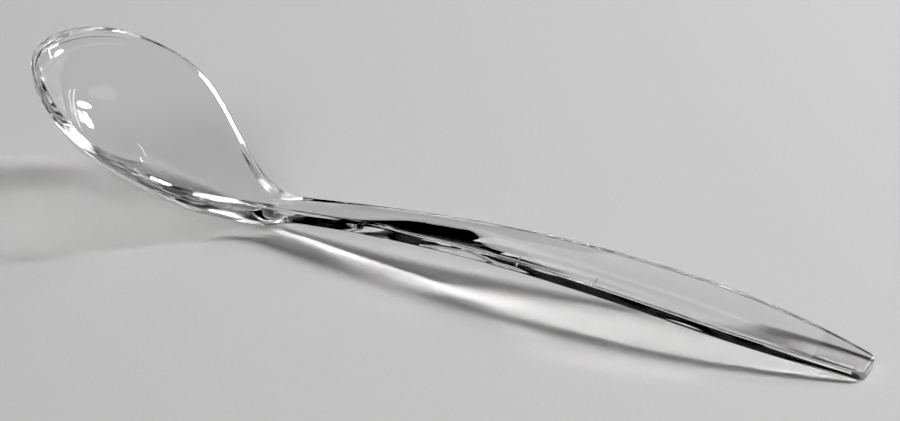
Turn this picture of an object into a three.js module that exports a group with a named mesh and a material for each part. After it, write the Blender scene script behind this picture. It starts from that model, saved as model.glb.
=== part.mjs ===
import * as THREE from 'three';
import { mergeVertices } from 'three/addons/utils/BufferGeometryUtils.js';

// A clear one-piece moulded spoon lying on a table, in mm, +Z up.
// X runs from the bowl tip to the handle end and Y runs across the spoon.
// The origin is on the table, halfway along the length and on the middle plane.

// Lengths along the spoon
const TIP_TO_WIDEST = 22.5;
const WIDEST_TO_NECK = 35.5;
const NECK_TO_SWELL = 86.5;
const SWELL_TO_END = 35.5;

// Half widths of the outline
const BOWL_HALF_WIDTH = 20.7;
const NECK_HALF_WIDTH = 3.3;
const SWELL_HALF_WIDTH = 7.3;
const END_HALF_WIDTH = 3.6;
const END_CORNER_RADIUS = 1.4;
const TIP_ROUNDNESS = 1.8;

// Heights of the rim and of the handle's top face above the table
const TIP_HEIGHT = 30.6;
const FRONT_HEIGHT = 27.4;
const WIDEST_HEIGHT = 21.2;
const HEEL_HEIGHT = 12.8;
const NECK_HEIGHT = 6.3;
const STEM_HEIGHT = 7.2;
const ARCH_HEIGHT = 9.55;
const END_HEIGHT = 1.95;

// Where those heights are met, measured from the widest part of the bowl or from the neck
const FRONT_BEFORE_WIDEST = 11.8;
const HEEL_AFTER_WIDEST = 13.5;
const LOW_BEFORE_NECK = 3;
const STEM_AFTER_NECK = 8;
const ARCH_AFTER_NECK = 48;

// The dish inside the bowl, measured down from the rim, with a blunt front and rounded sides
const DISH_DEPTH = 13.2;
const HEEL_DISH_DEPTH = 7.1;
const HEEL_DISH_AFTER_WIDEST = 18.5;
const DISH_END_AFTER_NECK = 2;
const TIP_FULLNESS = 7;
const SIDE_FULLNESS = 1.9;
const RIM_LAND = 1.8;
const HANDLE_LAND = 0.6;

// The rounded crown along the top of the neck, above the edges of the handle
const CROWN_HEIGHT = 1.25;
const CROWN_FRONT_HEIGHT = 1.15;
const CROWN_BACK_HEIGHT = 0.6;
const CROWN_TAIL_HEIGHT = 0.3;
const CROWN_FRONT_AFTER_NECK = 30;
const CROWN_AFTER_NECK = 38;
const CROWN_TAIL_AFTER_NECK = 60;
const CROWN_END_AFTER_NECK = 76;

// Thickness down the middle
const BOWL_FLOOR = 1.9;
const HEEL_FLOOR = 2.3;
const ROOT_THICKNESS = 4.6;
const NECK_THICKNESS = 4.4;
const SHANK_THICKNESS = 3.6;
const ARCH_THICKNESS = 3.2;
const HANDLE_THICKNESS = 2.9;
const END_THICKNESS = 2.1;

// Height of the upright band round the edge, and the belly of the handle's underside
const TIP_BAND = 2.6;
const RIM_BAND = 1.4;
const ROOT_BAND = 3.6;
const NECK_BAND = 2.6;
const HANDLE_BAND = 2.45;
const END_BAND = 1.8;
const HANDLE_FULLNESS = 1.5;
const EDGE_RADIUS = 0.4;

// The root of the neck, the slim place after it and the shank beyond
const ROOT_BEFORE_NECK = 5;
const SLIM_AFTER_NECK = 3;
const SHANK_AFTER_NECK = 36;

// Depth by which the two resting spots are flattened on the table
const REST_FLAT = 0.2;

// Mesh steps
const TIP_STEPS = 16;
const HEEL_STEPS = 16;
const HANDLE_STEPS = 22;
const CORNER_STEPS = 4;
const DISH_STEPS = 10;
const BELLY_STEPS = 10;
const STEP_SPREAD = 0.8;

const xWidest = TIP_TO_WIDEST;
const xNeck = xWidest + WIDEST_TO_NECK;
const xSwell = xNeck + NECK_TO_SWELL;
const xEnd = xSwell + SWELL_TO_END;
const xHeelDish = xWidest + HEEL_DISH_AFTER_WIDEST;
const xDishEnd = xNeck + DISH_END_AFTER_NECK;
const xRoot = xNeck - ROOT_BEFORE_NECK;
const xSlim = xNeck + SLIM_AFTER_NECK;
const xStem = xNeck + STEM_AFTER_NECK;
const xShank = xNeck + SHANK_AFTER_NECK;
const xArch = xNeck + ARCH_AFTER_NECK;

// A smooth curve through stations of place, value and slope
function curve(stations) {
  return (x) => {
    const last = stations.length - 1;
    if (x <= stations[0][0]) return stations[0][1];
    if (x >= stations[last][0]) return stations[last][1];
    let i = 0;
    while (x > stations[i + 1][0]) i += 1;
    const [x0, v0, m0] = stations[i];
    const [x1, v1, m1] = stations[i + 1];
    const h = x1 - x0;
    const s = (x - x0) / h;
    const rise = s * s * (3 - 2 * s);
    const slopes = m0 * s * (1 - s) ** 2 + m1 * s * s * (s - 1);
    return v0 + (v1 - v0) * rise + h * slopes;
  };
}

const outline = curve([
  [xWidest, BOWL_HALF_WIDTH, 0],
  [xNeck, NECK_HALF_WIDTH, 0.035],
  [xSwell, SWELL_HALF_WIDTH, 0],
  [xEnd, END_HALF_WIDTH, -0.22],
]);

const rim = curve([
  [0, TIP_HEIGHT, -0.05],
  [xWidest - FRONT_BEFORE_WIDEST, FRONT_HEIGHT, -0.5],
  [xWidest, WIDEST_HEIGHT, -0.54],
  [xWidest + HEEL_AFTER_WIDEST, HEEL_HEIGHT, -0.69],
  [xNeck - LOW_BEFORE_NECK, NECK_HEIGHT, 0],
  [xStem, STEM_HEIGHT, 0.11],
  [xArch, ARCH_HEIGHT, 0],
  [xEnd, END_HEIGHT, -0.19],
]);

const dish = curve([
  [xWidest, DISH_DEPTH, 0],
  [xHeelDish, HEEL_DISH_DEPTH, -0.5],
  [xDishEnd, 0, 0],
]);

const crown = curve([
  [xDishEnd, 0, 0],
  [xNeck + CROWN_FRONT_AFTER_NECK, CROWN_FRONT_HEIGHT, 0],
  [xNeck + CROWN_AFTER_NECK, CROWN_HEIGHT, 0],
  [xArch, CROWN_BACK_HEIGHT, 0],
  [xNeck + CROWN_TAIL_AFTER_NECK, CROWN_TAIL_HEIGHT, 0],
  [xNeck + CROWN_END_AFTER_NECK, 0, 0],
]);

const land = curve([
  [xRoot, RIM_LAND, 0],
  [xStem, HANDLE_LAND, 0],
]);

const thickness = curve([
  [xWidest, BOWL_FLOOR, 0],
  [xHeelDish, HEEL_FLOOR, 0.06],
  [xRoot, ROOT_THICKNESS, 0],
  [xSlim, NECK_THICKNESS, 0],
  [xShank, SHANK_THICKNESS, 0],
  [xArch, ARCH_THICKNESS, 0],
  [xSwell, HANDLE_THICKNESS, 0],
  [xEnd, END_THICKNESS, -0.09],
]);

const band = curve([
  [0, TIP_BAND, 0],
  [xWidest, RIM_BAND, 0],
  [xRoot, ROOT_BAND, 0],
  [xSlim, NECK_BAND, 0],
  [xArch, HANDLE_BAND, 0],
  [xSwell, HANDLE_BAND, 0],
  [xEnd, END_BAND, -0.03],
]);

const bellyFullness = curve([
  [xRoot, SIDE_FULLNESS, 0],
  [xSlim, HANDLE_FULLNESS, 0],
]);

// How far the middle of the top lies below its edges, less than nothing where it is crowned
function hollow(x) {
  return dish(x) - crown(x);
}

// Half width with the two corners of the handle end rounded off
function halfWidth(x) {
  const over = x - (xEnd - END_CORNER_RADIUS);
  if (over <= 0) return outline(x);
  return outline(x) - END_CORNER_RADIUS + Math.sqrt(Math.max(END_CORNER_RADIUS ** 2 - over ** 2, 0));
}

// The spoon is set down so that the bowl floor and the underside of the end both touch the table
function lowest(from, to) {
  let best = [from, Infinity];
  for (let i = 0; i <= 200; i += 1) {
    const x = from + ((to - from) * i) / 200;
    const z = rim(x) - hollow(x) - thickness(x);
    if (z < best[1]) best = [x, z];
  }
  return best;
}

const [xBowlRest, zBowlRest] = lowest(xWidest, xNeck);
const [xEndRest, zEndRest] = lowest(xSwell, xEnd - END_CORNER_RADIUS);

function setDown(x, z) {
  const t = (x - xBowlRest) / (xEndRest - xBowlRest);
  return z - zBowlRest - (zEndRest - zBowlRest) * t - REST_FLAT;
}

// A place on the plan at a share of the way out to the outline drawn in by an inset
function plan(column, inset, share) {
  if (column.x !== undefined) {
    return [column.x, share * Math.max(halfWidth(column.x) - inset, 0)];
  }
  const power = 2 + (TIP_ROUNDNESS - 2) * share * share;
  const along = (TIP_TO_WIDEST - inset) * share * Math.cos(column.turn) ** (2 / power);
  const across = (BOWL_HALF_WIDTH - inset) * share * Math.sin(column.turn) ** (2 / power);
  return [xWidest - along, across];
}

// The bowl's section is blunt towards the tip and rounded across
function fullness(column) {
  const side = column.x === undefined ? Math.sin(column.turn) ** 2 : 1;
  return TIP_FULLNESS + (SIDE_FULLNESS - TIP_FULLNESS) * side;
}

function topPoint(column, inset, share, drop) {
  const [x, y] = plan(column, inset, share);
  const sunk = hollow(x) * (1 - share ** fullness(column)) + drop + column.trim;
  return [x, y, setDown(x, rim(x) - sunk)];
}

function sidePoint(column, inset, drop) {
  const [x, y] = plan(column, inset, 1);
  return [x, y, setDown(x, rim(x) - drop)];
}

function bottomPoint(column, share) {
  const [x, y] = plan(column, EDGE_RADIUS, share);
  const belly = hollow(x) + thickness(x) - band(x);
  const power = fullness(column) + bellyFullness(x) - SIDE_FULLNESS;
  const z = rim(x) - band(x) - belly * (1 - share ** power) + column.trim;
  return [x, y, setDown(x, z)];
}

// One half section, from the middle of the top out over the edge to the middle of the underside
function halfSection(column) {
  const points = [];
  const strip = land(column.x ?? xWidest);
  for (let i = 0; i <= DISH_STEPS; i += 1) {
    points.push(topPoint(column, strip, (i / DISH_STEPS) ** STEP_SPREAD, 0));
  }
  const round = EDGE_RADIUS * (1 - Math.SQRT1_2);
  const [xEdge] = plan(column, 0, 1);
  const foot = band(xEdge) - column.trim;
  points.push(topPoint(column, EDGE_RADIUS, 1, 0));
  points.push(topPoint(column, round, 1, round));
  points.push(sidePoint(column, 0, EDGE_RADIUS + column.trim));
  points.push(sidePoint(column, 0, foot - EDGE_RADIUS));
  points.push(sidePoint(column, round, foot - round));
  for (let i = BELLY_STEPS; i >= 0; i -= 1) {
    points.push(bottomPoint(column, (i / BELLY_STEPS) ** STEP_SPREAD));
  }
  points.forEach((p) => {
    p[2] = Math.max(p[2], 0);
  });
  return points;
}

// Columns fan round the tip, then step along the handle, and close in on the blunt end
function columns() {
  const list = [];
  for (let i = 0; i < TIP_STEPS; i += 1) {
    list.push({ turn: (i / TIP_STEPS) * (Math.PI / 2), trim: 0 });
  }
  for (let i = 0; i < HEEL_STEPS; i += 1) {
    list.push({ x: xWidest + (WIDEST_TO_NECK * i) / HEEL_STEPS, trim: 0 });
  }
  const run = xEnd - END_CORNER_RADIUS - xNeck;
  for (let i = 0; i < HANDLE_STEPS; i += 1) {
    list.push({ x: xNeck + (run * i) / HANDLE_STEPS, trim: 0 });
  }
  for (let i = 0; i <= CORNER_STEPS; i += 1) {
    const angle = (i / CORNER_STEPS) * (Math.PI / 2);
    const x = xEnd - END_CORNER_RADIUS * (1 - Math.sin(angle));
    const past = Math.max(x - (xEnd - EDGE_RADIUS), 0);
    const trim = EDGE_RADIUS - Math.sqrt(Math.max(EDGE_RADIUS ** 2 - past ** 2, 0));
    list.push({ x, trim: Math.min(trim, EDGE_RADIUS * 0.6) });
  }
  return list;
}

function spoonGeometry() {
  const halves = columns().map(halfSection);
  const position = [];
  const put = (...corners) => {
    corners.forEach(([x, y, z]) => position.push(x - xEnd / 2, y, z));
  };
  const apart = (p, q) => p.some((v, k) => Math.abs(v - q[k]) > 1e-7);
  const face = (a, b, c) => {
    if (apart(a, b) && apart(b, c) && apart(c, a)) put(a, b, c);
  };
  const mirrored = ([x, y, z]) => [x, -y, z];

  for (let i = 0; i + 1 < halves.length; i += 1) {
    for (let j = 0; j + 1 < halves[i].length; j += 1) {
      const a = halves[i][j];
      const b = halves[i + 1][j];
      const c = halves[i + 1][j + 1];
      const d = halves[i][j + 1];
      face(a, b, c);
      face(a, c, d);
      face(mirrored(a), mirrored(c), mirrored(b));
      face(mirrored(a), mirrored(d), mirrored(c));
    }
  }

  const right = halves[halves.length - 1];
  const left = right.slice(1, -1).reverse().map(mirrored);
  const loop = [...right, ...left];
  const top = right[0];
  const foot = right[right.length - 1];
  const middle = [top[0], 0, (top[2] + foot[2]) / 2];
  loop.forEach((point, i) => face(middle, loop[(i + 1) % loop.length], point));

  const geometry = new THREE.BufferGeometry();
  geometry.setAttribute('position', new THREE.Float32BufferAttribute(position, 3));
  const welded = mergeVertices(geometry, 1e-4);
  welded.computeVertexNormals();
  return welded;
}

const spoon = new THREE.Group();
spoon.name = 'spoon';

const moulding = new THREE.Mesh(
  spoonGeometry(),
  new THREE.MeshStandardMaterial({ color: 0xd9dbdc, roughness: 0.06, metalness: 0 }),
);
moulding.name = 'spoon_moulding';
spoon.add(moulding);

export default spoon;
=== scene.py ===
"""A clear moulded spoon lying on a pale table: its shape, its finish and the stage it is shown on."""

import math
from types import SimpleNamespace
from typing import NamedTuple

import bpy
from mathutils import Matrix, Vector


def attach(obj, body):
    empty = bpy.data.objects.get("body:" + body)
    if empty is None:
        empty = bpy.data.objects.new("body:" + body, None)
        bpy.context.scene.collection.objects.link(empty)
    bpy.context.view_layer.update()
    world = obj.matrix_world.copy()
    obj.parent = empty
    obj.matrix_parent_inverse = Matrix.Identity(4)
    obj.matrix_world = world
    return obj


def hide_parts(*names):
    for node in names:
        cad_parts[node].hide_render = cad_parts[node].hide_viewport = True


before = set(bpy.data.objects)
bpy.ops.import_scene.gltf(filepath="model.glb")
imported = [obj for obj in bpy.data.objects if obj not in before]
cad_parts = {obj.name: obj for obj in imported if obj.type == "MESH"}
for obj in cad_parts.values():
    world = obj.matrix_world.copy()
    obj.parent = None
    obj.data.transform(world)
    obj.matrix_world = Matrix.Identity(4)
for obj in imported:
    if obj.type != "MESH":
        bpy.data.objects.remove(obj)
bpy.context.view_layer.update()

bl_info = {
    "name": "Clear Moulded Spoon",
    "version": (1, 0, 0),
    "blender": (4, 5, 0),
    "location": "View3D > Sidebar > Spoon",
    "description": "Builds a clear moulded spoon and the table it lies on",
    "category": "Object",
}

NODE = "spoon_moulding"
BODY = "root"
MM = 0.001
IMAGE_WIDTH = 900
IMAGE_HEIGHT = 421
SENSOR_WIDTH = 36.0
NEAREST_VIEW = 10 * MM
QUARTER_TURN = math.pi / 2
WELD_DISTANCE = 0.002 * MM
SEARCH_STEPS = 200
NOISE_DETAIL = {"rubs": 3.0, "patches": 2.0, "ripples": 1.0, "grain": 3.0}

# Steps of the mesh along the spoon and round one half of its section
COLUMNS = {"fan": 84, "body": 300, "corner": 12, "cap": 6}
ROWS = {"dish": 30, "land": 6, "top_round": 6, "side": 6, "foot_round": 6, "belly": 30}


def length(label, millimetres, words):
    """A size in the units of the scene, given in millimetres."""
    return bpy.props.FloatProperty(
        name=label, description=words, default=millimetres * MM, unit="LENGTH", precision=5
    )


def number(label, value, words):
    """A plain number."""
    return bpy.props.FloatProperty(name=label, description=words, default=value, precision=4)


def colour(label, value, words):
    """A linear colour."""
    return bpy.props.FloatVectorProperty(
        name=label, description=words, default=value, subtype="COLOR", size=3, min=0.0, max=1.0
    )


def angle(label, degrees, words):
    """An angle, given in degrees."""
    return bpy.props.FloatProperty(
        name=label, description=words, default=math.radians(degrees), subtype="ANGLE"
    )


class SpoonShape(bpy.types.PropertyGroup):
    """Sizes of the moulding, measured from the bowl tip and up from the table."""

    # The plan
    tip_to_widest: length("Tip to widest", 22.5, "From the bowl tip to the widest part of the bowl")
    widest_to_neck: length("Widest to neck", 35.5, "From the widest part of the bowl to the neck")
    neck_to_swell: length("Neck to swell", 86.5, "From the neck to the widest part of the handle")
    swell_to_end: length("Swell to end", 35.5, "From the widest part of the handle to its end")
    bowl_half: length("Bowl half width", 20.7, "Half the width of the bowl")
    neck_half: length("Neck half width", 3.3, "Half the width of the neck")
    swell_half: length("Swell half width", 7.3, "Half the greatest width of the handle")
    end_half: length("End half width", 3.6, "Half the width of the blunt end")
    end_corner: length("End corner", 1.4, "Radius of the two corners of the blunt end")
    tip_round: number("Tip roundness", 1.8, "Power of the curve round the tip, 2 for an ellipse")
    neck_flare: number("Neck flare", 0.035, "Slope of the outline at the neck")
    end_taper: number("End taper", -0.22, "Slope of the outline at the end")

    # The heights of the rim and the top
    tip_height: length("Tip height", 30.6, "Height of the rim at the tip")
    front_height: length("Front height", 27.4, "Height of the rim between tip and widest part")
    widest_height: length("Widest height", 21.2, "Height of the rim at the widest part")
    heel_height: length("Heel height", 12.8, "Height of the rim where the bowl narrows")
    neck_height: length("Neck height", 6.3, "Height of the top face at the neck")
    stem_height: length("Stem height", 7.2, "Height of the top face just after the neck")
    arch_height: length("Arch height", 9.55, "Height of the top face at the top of the arch")
    end_height: length("End height", 1.95, "Height of the top face at the end")
    front_place: length("Front place", 11.8, "From the front height to the widest part")
    heel_place: length("Heel place", 13.5, "From the widest part to the heel height")
    low_place: length("Low place", 3.0, "From the lowest part of the top to the neck")
    stem_place: length("Stem place", 8.0, "From the neck to the stem height")
    arch_place: length("Arch place", 48.0, "From the neck to the top of the arch")
    tip_slope: number("Tip slope", -0.05, "Slope of the rim at the tip")
    front_slope: number("Front slope", -0.5, "Slope of the rim at the front height")
    widest_slope: number("Widest slope", -0.54, "Slope of the rim at the widest part")
    heel_slope: number("Heel slope", -0.69, "Slope of the rim at the heel height")
    stem_slope: number("Stem slope", 0.11, "Slope of the top at the stem height")
    end_slope: number("End slope", -0.19, "Slope of the top at the end")

    # The dish and the land round it
    dish_depth: length("Dish depth", 13.2, "Depth of the dish below the rim at the widest part")
    heel_dish: length("Heel dish depth", 7.1, "Depth of the dish below the rim at the heel")
    heel_dish_place: length("Heel dish place", 18.5, "From the widest part to the heel of the dish")
    heel_dish_slope: number("Heel dish slope", -0.5, "Slope of the dish's depth at the heel")
    dish_end: length("Dish end", 2.0, "From the neck to where the dish runs out")
    tip_full: number("Tip fullness", 7.0, "Power of the bowl's section at the tip, 2 for a parabola")
    side_full: number("Side fullness", 1.9, "Power of the bowl's section at its sides")
    rim_land: length("Rim land", 1.8, "Width of the flat land round the bowl")
    handle_land: length("Handle land", 0.6, "Width of the flat land along the handle")

    # The crown along the neck
    crown: length("Crown", 1.25, "Height of the neck's rounded top above its edges")
    crown_front: length("Crown front", 1.15, "Height of the crown on its bowl side")
    crown_back: length("Crown back", 0.6, "Height of the crown at the top of the arch")
    crown_tail: length("Crown tail", 0.3, "Height of the crown where it runs out")
    crown_front_place: length("Crown front place", 30.0, "From the neck to the front of the crown")
    crown_place: length("Crown place", 38.0, "From the neck to the top of the crown")
    crown_tail_place: length("Crown tail place", 60.0, "From the neck to the tail of the crown")
    crown_end: length("Crown end", 76.0, "From the neck to the end of the crown")

    # The thickness, and the upright band round the edge
    bowl_floor: length("Bowl floor", 1.9, "Thickness of the bowl at its widest part")
    heel_floor: length("Heel floor", 2.3, "Thickness of the bowl where it rests")
    heel_floor_slope: number("Heel floor slope", 0.06, "Slope of the thickness at the heel")
    root_thick: length("Root thickness", 4.6, "Thickness at the root of the neck")
    neck_thick: length("Neck thickness", 4.4, "Thickness of the neck down its middle")
    shank_thick: length("Shank thickness", 3.6, "Thickness of the handle between neck and arch")
    arch_thick: length("Arch thickness", 3.2, "Thickness of the handle at the top of its arch")
    handle_thick: length("Handle thickness", 2.9, "Thickness of the handle at its widest part")
    end_thick: length("End thickness", 2.1, "Thickness of the end down its middle")
    end_thick_slope: number("End thickness slope", -0.09, "Slope of the thickness at the end")
    root_place: length("Root place", 5.0, "From the root of the neck to the neck")
    slim_place: length("Slim place", 3.0, "From the neck to where it is slimmest")
    shank_place: length("Shank place", 36.0, "From the neck to the shank thickness")
    tip_band: length("Tip band", 2.6, "Height of the upright band round the tip")
    rim_band: length("Rim band", 1.4, "Height of the upright band at the widest part")
    root_band: length("Root band", 3.6, "Height of the upright side at the root of the neck")
    neck_band: length("Neck band", 2.6, "Height of the upright side of the neck")
    handle_band: length("Handle band", 2.45, "Height of the upright side of the handle")
    end_band: length("End band", 1.8, "Height of the upright side of the end")
    end_band_slope: number("End band slope", -0.03, "Slope of the band's height at the end")
    belly_power: number("Handle fullness", 1.5, "Power of the handle's underside, 2 for a parabola")
    edge: length("Edge radius", 0.4, "Radius of the rounded edges")
    rest_flat: length("Rest flat", 0.2, "Depth of the two flats that the spoon rests on")


class SpoonFinish(bpy.types.PropertyGroup):
    """The clear plastic."""

    tint: colour("Tint", (0.997, 0.997, 0.997), "Colour of light that has passed through the plastic")
    shade: colour("Shade", (0.945, 0.945, 0.945), "Colour where the skin is worn dull")
    index: number("Index", 1.59, "Refractive index of clear styrene")
    polish: number("Polish", 0.004, "Roughness of the moulded skin")
    wear: number("Wear", 0.05, "Roughness of the fine rub marks")
    rubs_along: number("Rubs along", 60.0, "Rub marks in a metre along the spoon")
    rubs_across: number("Rubs across", 900.0, "Rub marks in a metre across the spoon")
    rub_start: number("Rub start", 0.62, "Level of the noise where a rub mark starts")
    rub_full: number("Rub full", 0.74, "Level of the noise where a rub mark is full")
    patches: number("Patches", 90.0, "Rubbed patches in a metre")
    patch_start: number("Patch start", 0.45, "Level of the noise where a rubbed patch starts")
    patch_full: number("Patch full", 0.65, "Level of the noise where a rubbed patch is full")
    ripple: length("Ripple", 0.012, "Height of the faint ripples left by the mould")
    ripples: number("Ripples", 150.0, "Ripples in a metre")
    ripple_strength: number("Ripple strength", 0.5, "How much of the ripples shows")
    first_tick: length("First tick", 20.0, "From the middle of the spoon to the first tick on its edge")
    second_tick: length("Second tick", 36.2, "From the middle of the spoon to the second tick")
    tick_width: length("Tick width", 0.5, "Width of a tick")
    tick_reach: length("Tick reach", 3.6, "From the middle line of the spoon to where a tick starts")
    tick_fade: length("Tick fade", 0.72, "From where a tick starts to where it is full")
    tick_foot: length("Tick foot", 8.3, "Height above the table where a tick ends")
    tick_rough: number("Tick roughness", 0.45, "Roughness added to the skin in a tick")


class SpoonStage(bpy.types.PropertyGroup):
    """The table, the camera and the room. The settings of the lights are added below."""

    table_colour: colour("Table colour", (0.60, 0.60, 0.60), "Colour of the table")
    table_rough: number("Table roughness", 0.75, "Roughness of the table")
    table_reach: length("Table reach", 3000.0, "From the spoon to each side of the table")
    table_drop: length("Table drop", 0.05, "From the spoon's lowest point down to the table")
    grains: number("Grains", 1300.0, "Grains of the table in a metre")
    grain_shade: number("Grain shade", 0.90, "Share of the table's colour in the dark grains")
    azimuth: angle("Azimuth", 25.6, "Turn of the view to the right of square on")
    elevation: angle("Elevation", 30.0, "Height of the view above the horizon")
    distance: length("Distance", 550.0, "From the camera to the handle end")
    scale: number("Pixels per millimetre", 5.34, "Scale of the image at the handle end")
    end_across: number("End across", 870.3, "Column of the handle end in the image")
    end_down: number("End down", 364.0, "Row of the handle end in the image")
    room: number("Room", 0.0, "Brightness of the dark room round the table")
    black: number("Black level", 0.045, "Brightness that is shown as black")
    bounces: bpy.props.IntProperty(
        name="Bounces", description="Turns of light inside the plastic", default=48
    )


class Light(NamedTuple):
    """A soft light in watts, millimetres and degrees, and how the plastic shows it."""

    name: str
    words: str
    outline: str
    watts: float
    width: float
    height: float
    distance: float
    azimuth: float
    elevation: float
    mirrored: bool
    shown_through: bool


LIGHTS = (
    Light(
        "key", "the main light behind", "DISK", watts=27.3, width=380, height=380,
        distance=1600, azimuth=46, elevation=42, mirrored=False, shown_through=True,
    ),
    Light(
        "fill", "the soft light in front", "DISK", watts=3.2, width=900, height=900,
        distance=1100, azimuth=250, elevation=45, mirrored=False, shown_through=False,
    ),
    Light(
        "strip", "the strip that the rim mirrors", "RECTANGLE", watts=1.8, width=275, height=105,
        distance=1200, azimuth=74.5, elevation=37, mirrored=True, shown_through=True,
    ),
    Light(
        "sill", "the long low light behind", "RECTANGLE", watts=1.2, width=1100, height=60,
        distance=1200, azimuth=60, elevation=22, mirrored=True, shown_through=True,
    ),
    Light(
        "glow", "the panel that the handle mirrors", "RECTANGLE", watts=0.38, width=463, height=330,
        distance=1200, azimuth=103, elevation=36.5, mirrored=True, shown_through=True,
    ),
    Light(
        "side", "the panel beside the handle", "ELLIPSE", watts=0.75, width=700, height=420,
        distance=1200, azimuth=-8, elevation=42, mirrored=False, shown_through=True,
    ),
)


def light_settings(light):
    """The properties of one light, each under the light's own name."""
    title = light.name.capitalize()
    words = light.words
    settings = {
        "power": number(f"{title} power", light.watts, f"Power of {words} in watts"),
        "width": length(f"{title} width", light.width, f"Width of {words}"),
        "height": length(f"{title} height", light.height, f"Height of {words}"),
        "distance": length(f"{title} distance", light.distance, f"From the spoon to {words}"),
        "azimuth": angle(f"{title} azimuth", light.azimuth, f"Turn of {words} from the handle"),
        "elevation": angle(f"{title} elevation", light.elevation, f"Rise of {words} above the table"),
    }
    return {f"{light.name}_{setting}": value for setting, value in settings.items()}


for lamp in LIGHTS:
    SpoonStage.__annotations__.update(light_settings(lamp))


class Sock:
    """A node's output that can stand in a Python expression: each operator adds a Math node."""

    def __init__(self, graph, out):
        self.graph = graph
        self.out = out

    def __getitem__(self, name):
        return Sock(self.graph, self.out.node.outputs[name])

    def math(self, operation, *others):
        return self.graph.math(operation, self, *others)

    def __add__(self, other):
        return self.graph.math("ADD", self, other)

    def __radd__(self, other):
        return self.graph.math("ADD", other, self)

    def __sub__(self, other):
        return self.graph.math("SUBTRACT", self, other)

    def __rsub__(self, other):
        return self.graph.math("SUBTRACT", other, self)

    def __mul__(self, other):
        return self.graph.math("MULTIPLY", self, other)

    def __rmul__(self, other):
        return self.graph.math("MULTIPLY", other, self)

    def __truediv__(self, other):
        return self.graph.math("DIVIDE", self, other)

    def __rtruediv__(self, other):
        return self.graph.math("DIVIDE", other, self)

    def __pow__(self, other):
        return self.graph.math("POWER", self, other)


class Graph:
    """Adds nodes to a shader tree or a geometry tree."""

    def __init__(self, tree):
        self.tree = tree

    def node(self, kind, settings=None, sockets=None, out=0):
        """Adds a node, sets what it is, then gives its sockets their values or links."""
        made = self.tree.nodes.new(kind)
        for name, value in (settings or {}).items():
            setattr(made, name, value)
        for name, value in (sockets or {}).items():
            if isinstance(value, Sock):
                self.tree.links.new(value.out, made.inputs[name])
            else:
                made.inputs[name].default_value = value
        return Sock(self, made.outputs[out]) if len(made.outputs) else made

    def math(self, operation, *values):
        return self.node("ShaderNodeMath", {"operation": operation}, dict(enumerate(values)))

    def ramp(self, value, low, high, first=0.0, last=1.0, smooth=False):
        """The value taken from low..high to first..last, straight or eased, and held outside."""
        kind = "SMOOTHSTEP" if smooth else "LINEAR"
        return self.node(
            "ShaderNodeMapRange",
            {"interpolation_type": kind, "clamp": True},
            {"Value": value, "From Min": low, "From Max": high, "To Min": first, "To Max": last},
        )

    def noise(self, spot, scale, detail):
        return self.node("ShaderNodeTexNoise", None, {"Vector": spot, "Scale": scale, "Detail": detail})

    def mix(self, share, first, last):
        """A colour between two others."""
        return self.node(
            "ShaderNodeMix",
            {"data_type": "RGBA"},
            {"Factor": share, "A": (*first, 1.0), "B": (*last, 1.0)},
            out="Result",
        )


def stations(shape):
    """The curves along the spoon, each a list of place, value and slope, from sizes or a tree's inputs."""
    widest = shape.tip_to_widest
    neck = widest + shape.widest_to_neck
    swell = neck + shape.neck_to_swell
    end = swell + shape.swell_to_end
    heel = widest + shape.heel_dish_place
    root = neck - shape.root_place
    slim = neck + shape.slim_place
    stem = neck + shape.stem_place
    shank = neck + shape.shank_place
    arch = neck + shape.arch_place
    dish_end = neck + shape.dish_end
    return {
        "outline": [
            (widest, shape.bowl_half, 0),
            (neck, shape.neck_half, shape.neck_flare),
            (swell, shape.swell_half, 0),
            (end, shape.end_half, shape.end_taper),
        ],
        "rim": [
            (0.0, shape.tip_height, shape.tip_slope),
            (widest - shape.front_place, shape.front_height, shape.front_slope),
            (widest, shape.widest_height, shape.widest_slope),
            (widest + shape.heel_place, shape.heel_height, shape.heel_slope),
            (neck - shape.low_place, shape.neck_height, 0),
            (stem, shape.stem_height, shape.stem_slope),
            (arch, shape.arch_height, 0),
            (end, shape.end_height, shape.end_slope),
        ],
        "dish": [
            (widest, shape.dish_depth, 0),
            (heel, shape.heel_dish, shape.heel_dish_slope),
            (dish_end, 0.0, 0),
        ],
        "crown": [
            (dish_end, 0.0, 0),
            (neck + shape.crown_front_place, shape.crown_front, 0),
            (neck + shape.crown_place, shape.crown, 0),
            (arch, shape.crown_back, 0),
            (neck + shape.crown_tail_place, shape.crown_tail, 0),
            (neck + shape.crown_end, 0.0, 0),
        ],
        "land": [(root, shape.rim_land, 0), (stem, shape.handle_land, 0)],
        "thickness": [
            (widest, shape.bowl_floor, 0),
            (heel, shape.heel_floor, shape.heel_floor_slope),
            (root, shape.root_thick, 0),
            (slim, shape.neck_thick, 0),
            (shank, shape.shank_thick, 0),
            (arch, shape.arch_thick, 0),
            (swell, shape.handle_thick, 0),
            (end, shape.end_thick, shape.end_thick_slope),
        ],
        "band": [
            (0.0, shape.tip_band, 0),
            (widest, shape.rim_band, 0),
            (root, shape.root_band, 0),
            (slim, shape.neck_band, 0),
            (arch, shape.handle_band, 0),
            (swell, shape.handle_band, 0),
            (end, shape.end_band, shape.end_band_slope),
        ],
        "belly_power": [(root, shape.side_full, 0), (slim, shape.belly_power, 0)],
    }


def curve_at(points, x):
    """The value of a curve through stations, in plain numbers."""
    total = points[0][1]
    for (x0, v0, m0), (x1, v1, m1) in zip(points, points[1:]):
        s = min(max((x - x0) / (x1 - x0), 0.0), 1.0)
        total += (v1 - v0) * s * s * (3 - 2 * s)
        total += (x1 - x0) * (m0 * s * (1 - s) ** 2 + m1 * s * s * (s - 1))
    return total


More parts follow.
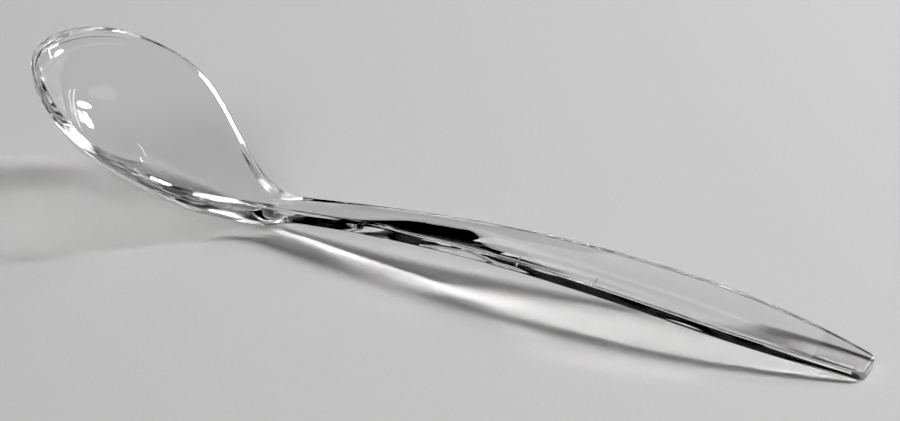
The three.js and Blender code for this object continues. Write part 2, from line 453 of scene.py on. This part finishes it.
def curve_nodes(graph, points, x):
    """The same curve as nodes: an eased step for each stretch, and a hump for each slope."""
    total = points[0][1]
    for (x0, v0, m0), (x1, v1, m1) in zip(points, points[1:]):
        total = graph.ramp(x, x0, x1, 0.0, v1 - v0, smooth=True) + total
        if m0 or m1:
            s = graph.ramp(x, x0, x1)
            rest = 1.0 - s
            total = total + s * rest * (rest * (m0 * (x1 - x0)) - s * (m1 * (x1 - x0)))
    return total


def lowest(curves, start, stop):
    """Place and height of the lowest point of the underside between two places."""
    best = None
    for i in range(SEARCH_STEPS + 1):
        x = start + (stop - start) * i / SEARCH_STEPS
        hollow = curve_at(curves["dish"], x) - curve_at(curves["crown"], x)
        z = curve_at(curves["rim"], x) - hollow - curve_at(curves["thickness"], x)
        if best is None or z < best[1]:
            best = (x, z)
    return best


def resting_line(shape):
    """Place and height of the bowl's lowest point, and the slope from there to the handle's."""
    curves = stations(shape)
    widest, neck, swell, end = (place for place, value, slope in curves["outline"])
    x_bowl, z_bowl = lowest(curves, widest, neck)
    x_end, z_end = lowest(curves, swell, end - shape.end_corner)
    return x_bowl, z_bowl, (z_end - z_bowl) / (x_end - x_bowl)


def shares(steps):
    """Where each run of steps starts and stops, as shares of them all, and the count of points."""
    total = sum(steps.values())
    spans = {}
    start = 0
    for name, count in steps.items():
        spans[name] = (start / total, (start + count) / total)
        start += count
    return spans, total + 1


def size_labels(shape):
    """The label of each size of the spoon."""
    return {name: shape.bl_rna.properties[name].name for name in SpoonShape.__annotations__}


def size_inputs(graph, shape):
    """Adds an input to the tree for each size, and gives them by the sizes' own names."""
    labels = size_labels(shape)
    for label in labels.values():
        graph.tree.interface.new_socket(label, in_out="INPUT", socket_type="NodeSocketFloat")
    inputs = graph.node("NodeGroupInput")
    return SimpleNamespace(**{name: inputs[label] for name, label in labels.items()})


def set_inputs(modifier, shape):
    """Gives each input of a modifier its size, by the socket's identifier."""
    values = {label: getattr(shape, name) for name, label in size_labels(shape).items()}
    for item in modifier.node_group.interface.items_tree:
        if item.in_out == "INPUT":
            modifier[item.identifier] = values[item.name]


def spoon_tree(shape, material):
    """A geometry tree that wraps half a grid round the spoon's section, mirrors it and welds it."""
    tree = bpy.data.node_groups.new("spoon_moulding", "GeometryNodeTree")
    tree.interface.new_socket("Geometry", in_out="OUTPUT", socket_type="NodeSocketGeometry")
    graph = Graph(tree)
    sizes = size_inputs(graph, shape)
    curves = stations(sizes)
    widest = sizes.tip_to_widest
    corner = sizes.end_corner
    edge = sizes.edge
    # The places at the end are summed as plain numbers, because sums of nodes round off more
    end = stations(shape)["outline"][-1][0]
    corner_start = end - shape.end_corner
    edge_start = end - shape.edge
    columns, column_count = shares(COLUMNS)
    rows, row_count = shares(ROWS)

    grid = graph.node(
        "GeometryNodeMeshGrid",
        None,
        {"Size X": 1.0, "Size Y": 1.0, "Vertices X": column_count, "Vertices Y": row_count},
    )
    place = graph.node("ShaderNodeSeparateXYZ", None, {0: graph.node("GeometryNodeInputPosition")})
    u = place["X"] + 0.5
    v = place["Y"] + 0.5

    # Along the spoon: a fan round the tip, the length of the body, the end's corners and its flat cap
    turn = graph.ramp(u, *columns["fan"], 0.0, QUARTER_TURN)
    reach = graph.ramp(u, *columns["body"], widest, corner_start)
    bend = graph.ramp(u, *columns["corner"], 0.0, QUARTER_TURN)
    closing = graph.ramp(u, *columns["cap"])
    along = reach + bend.math("SINE") * corner

    # Round the section: dish, land, rounded edge, upright side, rounded foot and belly
    out_top = graph.ramp(v, *rows["dish"])
    over_land = graph.ramp(v, *rows["land"])
    top_turn = graph.ramp(v, *rows["top_round"], 0.0, QUARTER_TURN)
    down_side = graph.ramp(v, *rows["side"])
    foot_turn = graph.ramp(v, *rows["foot_round"], 0.0, QUARTER_TURN)
    under = graph.ramp(v, *rows["belly"])
    beneath = v.math("GREATER_THAN", rows["foot_round"][0])
    share = out_top * (1.0 - under)
    land = curve_nodes(graph, curves["land"], along)
    inset = (land + (edge - land) * over_land) * (1.0 - top_turn.math("SINE"))
    inset = inset + edge * (1.0 - foot_turn.math("COSINE"))

    # The plan: an outline with rounded end corners, or a rounded fan at the tip
    over = graph.ramp(along, corner_start, end, 0.0, corner)
    half = curve_nodes(graph, curves["outline"], along) - corner
    half = half + (corner * corner - over * over).math("MAXIMUM", 0.0).math("SQRT")
    power = 2.0 / (2.0 + (sizes.tip_round - 2.0) * share * share)
    tip_along = turn.math("COSINE").math("MAXIMUM", 0.0) ** power
    tip_across = turn.math("SINE").math("MAXIMUM", 0.0) ** power
    x = along - (widest - inset) * share * tip_along
    y = (half - inset) * share * tip_across

    # The heights
    depth = curve_nodes(graph, curves["dish"], x) - curve_nodes(graph, curves["crown"], x)
    band = curve_nodes(graph, curves["band"], x)
    thick = curve_nodes(graph, curves["thickness"], x)
    belly_power = curve_nodes(graph, curves["belly_power"], x)
    rim = curve_nodes(graph, curves["rim"], x)
    drop = edge * (1.0 - top_turn.math("COSINE")) + (band - 2.0 * edge) * down_side
    drop = drop + edge * foot_turn.math("SINE")
    turned = turn.math("SINE")
    fullness = sizes.tip_full + (sizes.side_full - sizes.tip_full) * turned * turned
    belly_full = fullness + (belly_power - sizes.side_full)
    hollow = depth * (1.0 - share**fullness)
    belly = (depth + thick - band) * (1.0 - share**belly_full)
    z = rim - drop - hollow * (1.0 - beneath) - belly * beneath

    # The end face is rounded over its edges, then closed to its middle
    past = graph.ramp(x, edge_start, end, 0.0, edge)
    trim = edge - (edge * edge - past * past).math("MAXIMUM", 0.0).math("SQRT")
    middle = rim - thick * 0.5
    z = middle + (z - middle) * (1.0 - trim / thick)
    y = y * (1.0 - closing)
    z = middle + (z - middle) * (1.0 - closing)

    # Set down on the table, with a small flat where it rests
    x_bowl, z_bowl, tilt = resting_line(shape)
    z = (z - (x - x_bowl) * tilt - (z_bowl + sizes.rest_flat)).math("MAXIMUM", 0.0)

    spot = graph.node("ShaderNodeCombineXYZ", None, {"X": x - end / 2, "Y": y, "Z": z})
    side = graph.node("GeometryNodeSetPosition", None, {"Geometry": grid, "Position": spot})
    flipped = graph.node("GeometryNodeTransform", None, {"Geometry": side, "Scale": (1.0, -1.0, 1.0)})
    flipped = graph.node("GeometryNodeFlipFaces", None, {"Mesh": flipped})
    both = graph.node("GeometryNodeJoinGeometry")
    tree.links.new(side.out, both.out.node.inputs[0])
    tree.links.new(flipped.out, both.out.node.inputs[0])
    welded = graph.node("GeometryNodeMergeByDistance", None, {"Geometry": both, "Distance": WELD_DISTANCE})
    smooth = graph.node("GeometryNodeSetShadeSmooth", None, {"Geometry": welded})
    real = graph.node("GeometryNodeRealizeInstances", None, {"Geometry": smooth})
    dressed = graph.node("GeometryNodeSetMaterial", None, {"Geometry": real, "Material": material})
    graph.node("NodeGroupOutput", None, {"Geometry": dressed})
    return tree


def new_material(name):
    """A material with an empty tree, and the graph that fills it."""
    material = bpy.data.materials.new(name)
    material.use_nodes = True
    material.node_tree.nodes.clear()
    return material, Graph(material.node_tree)


def tick_mask(graph, finish, spot):
    """One in the two small ticks on the near edge of the handle, nought elsewhere."""
    place = graph.node("ShaderNodeSeparateXYZ", None, {0: spot})
    ticks = 0.0
    for middle in (finish.first_tick, finish.second_tick):
        aside = (place["X"] - middle).math("ABSOLUTE")
        ticks = graph.ramp(aside, finish.tick_width / 2, finish.tick_width / 4) + ticks
    near = graph.ramp(place["Y"], -finish.tick_reach, -finish.tick_reach - finish.tick_fade)
    high = graph.ramp(place["Z"], finish.tick_foot, finish.tick_foot + finish.tick_width)
    return ticks * near * high


def clear_plastic(finish):
    """Polished clear plastic with faint mould ripples, fine rub marks and two ticks."""
    material, graph = new_material("clear_plastic")
    spot = graph.node("ShaderNodeTexCoord", out="Object")
    streaks = graph.node(
        "ShaderNodeMapping",
        {"vector_type": "POINT"},
        {"Vector": spot, "Scale": (finish.rubs_along, finish.rubs_across, finish.rubs_across)},
    )
    rubs = graph.noise(streaks, 1.0, NOISE_DETAIL["rubs"])
    patches = graph.noise(spot, finish.patches, NOISE_DETAIL["patches"])
    rubbed = graph.ramp(rubs, finish.rub_start, finish.rub_full)
    rubbed = rubbed * graph.ramp(patches, finish.patch_start, finish.patch_full)
    ticks = tick_mask(graph, finish, spot)
    rough = finish.polish + rubbed * (finish.wear - finish.polish) + ticks * finish.tick_rough
    waves = graph.noise(spot, finish.ripples, NOISE_DETAIL["ripples"])
    bump = graph.node(
        "ShaderNodeBump",
        None,
        {"Height": waves, "Strength": finish.ripple_strength, "Distance": finish.ripple},
    )
    skin = graph.node(
        "ShaderNodeBsdfPrincipled",
        None,
        {
            "Base Color": graph.mix(rubbed, finish.tint, finish.shade),
            "Roughness": rough,
            "Normal": bump,
            "IOR": finish.index,
            "Transmission Weight": 1.0,
        },
    )
    graph.node("ShaderNodeOutputMaterial", None, {"Surface": skin})
    return material


def table_top(stage):
    """A pale matt table with a faint grain."""
    material, graph = new_material("table_top")
    spot = graph.node("ShaderNodeTexCoord", out="Object")
    grain = graph.noise(spot, stage.grains, NOISE_DETAIL["grain"])
    dark = tuple(channel * stage.grain_shade for channel in stage.table_colour)
    tone = graph.mix(grain, dark, stage.table_colour)
    skin = graph.node(
        "ShaderNodeBsdfPrincipled", None, {"Base Color": tone, "Roughness": stage.table_rough}
    )
    graph.node("ShaderNodeOutputMaterial", None, {"Surface": skin})
    return material


class SPOON_OT_moulding(bpy.types.Operator):
    """Make the one-piece clear spoon in place of its CAD solid"""

    bl_idname = "spoon.moulding"
    bl_label = "Spoon moulding"

    def execute(self, context):
        shape = context.scene.spoon_shape
        material = clear_plastic(context.scene.spoon_finish)
        seed = bpy.data.objects.new("spoon_seed", bpy.data.meshes.new("spoon_seed"))
        context.collection.objects.link(seed)
        modifier = seed.modifiers.new("Moulding", "NODES")
        modifier.node_group = spoon_tree(shape, material)
        set_inputs(modifier, shape)
        evaluated = seed.evaluated_get(context.evaluated_depsgraph_get())
        mesh = bpy.data.meshes.new_from_object(evaluated)
        bpy.data.objects.remove(seed)
        if not mesh.polygons:
            raise RuntimeError("the spoon's tree made no faces")
        spoon = bpy.data.objects.new("clear_spoon", mesh)
        context.collection.objects.link(spoon)
        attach(spoon, BODY)
        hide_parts(NODE)
        return {"FINISHED"}


def set_table(context, stage):
    """The plain table under the spoon."""
    reach = stage.table_reach
    level = -stage.table_drop
    corners = [
        (-reach, -reach, level),
        (reach, -reach, level),
        (reach, reach, level),
        (-reach, reach, level),
    ]
    mesh = bpy.data.meshes.new("table")
    mesh.from_pydata(corners, [], [(0, 1, 2, 3)])
    mesh.materials.append(table_top(stage))
    table = bpy.data.objects.new("table", mesh)
    context.collection.objects.link(table)


def direction(azimuth, elevation):
    """The way to a light, turned from the handle towards the back and raised above the table."""
    flat = math.cos(elevation)
    return Vector((math.cos(azimuth) * flat, math.sin(azimuth) * flat, math.sin(elevation)))


def set_light(context, stage, light):
    """One soft light that points at the middle of the spoon."""

    def setting(word):
        return getattr(stage, f"{light.name}_{word}")

    data = bpy.data.lights.new(light.name, "AREA")
    data.shape = light.outline
    data.size = setting("width")
    data.size_y = setting("height")
    data.energy = setting("power")
    lamp = bpy.data.objects.new(light.name, data)
    lamp.visible_glossy = light.mirrored
    lamp.visible_transmission = light.shown_through
    lamp.location = direction(setting("azimuth"), setting("elevation")) * setting("distance")
    lamp.rotation_euler = (-lamp.location).to_track_quat("-Z", "Y").to_euler()
    context.collection.objects.link(lamp)


def set_room(context, stage):
    """The dark room, the light's turns inside the plastic and the way the image is shown."""
    scene = context.scene
    scene.world = bpy.data.worlds.new("room")
    scene.world.use_nodes = True
    back = scene.world.node_tree.nodes["Background"]
    back.inputs["Color"].default_value = (1.0, 1.0, 1.0, 1.0)
    back.inputs["Strength"].default_value = stage.room
    scene.cycles.sample_clamp_indirect = 0.0
    scene.cycles.blur_glossy = 0.0
    for kind in ("max_bounces", "transmission_bounces", "glossy_bounces"):
        setattr(scene.cycles, kind, stage.bounces)
    view = scene.view_settings
    view.view_transform = "Standard"
    view.use_curve_mapping = True
    view.curve_mapping.black_level = (stage.black,) * 3
    view.curve_mapping.update()


def set_camera(context, stage, target):
    """The camera that sees the handle end where the photograph shows it."""
    a, e = stage.azimuth, stage.elevation
    right = Vector((math.cos(a), math.sin(a), 0.0))
    ahead = Vector((-math.sin(a) * math.cos(e), math.cos(a) * math.cos(e), -math.sin(e)))
    up = right.cross(ahead)
    focal = stage.scale * stage.distance / MM
    across = (stage.end_across - IMAGE_WIDTH / 2) / focal
    down = (stage.end_down - IMAGE_HEIGHT / 2) / focal
    eye = target - (ahead + right * across - up * down) * stage.distance
    data = bpy.data.cameras.new("camera")
    data.sensor_width = SENSOR_WIDTH
    data.lens = focal * SENSOR_WIDTH / IMAGE_WIDTH
    data.clip_start = NEAREST_VIEW
    camera = bpy.data.objects.new("camera", data)
    turn = Matrix((right, up, -ahead)).transposed().to_4x4()
    camera.matrix_world = Matrix.Translation(eye) @ turn
    context.collection.objects.link(camera)
    context.scene.camera = camera


class SPOON_OT_stage(bpy.types.Operator):
    """Set the table, the lights and the camera"""

    bl_idname = "spoon.stage"
    bl_label = "Table, lights and camera"

    def execute(self, context):
        stage = context.scene.spoon_stage
        shape = context.scene.spoon_shape
        set_table(context, stage)
        for light in LIGHTS:
            set_light(context, stage, light)
        set_room(context, stage)
        spoon_length = stations(shape)["outline"][-1][0]
        set_camera(context, stage, Vector((spoon_length / 2, 0.0, shape.end_height)))
        return {"FINISHED"}


class SPOON_PT_panel(bpy.types.Panel):
    """The spoon's sizes, finish and stage"""

    bl_label = "Clear spoon"
    bl_idname = "SPOON_PT_panel"
    bl_space_type = "VIEW_3D"
    bl_region_type = "UI"
    bl_category = "Spoon"

    def draw(self, context):
        for operator in OPERATORS:
            self.layout.operator(operator.bl_idname)
        for name, kind in GROUPS.items():
            box = self.layout.box()
            for setting in kind.__annotations__:
                box.prop(getattr(context.scene, name), setting)


GROUPS = {"spoon_shape": SpoonShape, "spoon_finish": SpoonFinish, "spoon_stage": SpoonStage}
OPERATORS = (SPOON_OT_moulding, SPOON_OT_stage)
CLASSES = (*GROUPS.values(), *OPERATORS, SPOON_PT_panel)


def register():
    for item in CLASSES:
        bpy.utils.register_class(item)
    for name, group in GROUPS.items():
        setattr(bpy.types.Scene, name, bpy.props.PointerProperty(type=group))


def unregister():
    for name in GROUPS:
        delattr(bpy.types.Scene, name)
    for item in reversed(CLASSES):
        bpy.utils.unregister_class(item)


def main():
    register()
    bpy.ops.spoon.moulding()
    bpy.ops.spoon.stage()


if __name__ == "__main__":
    main()
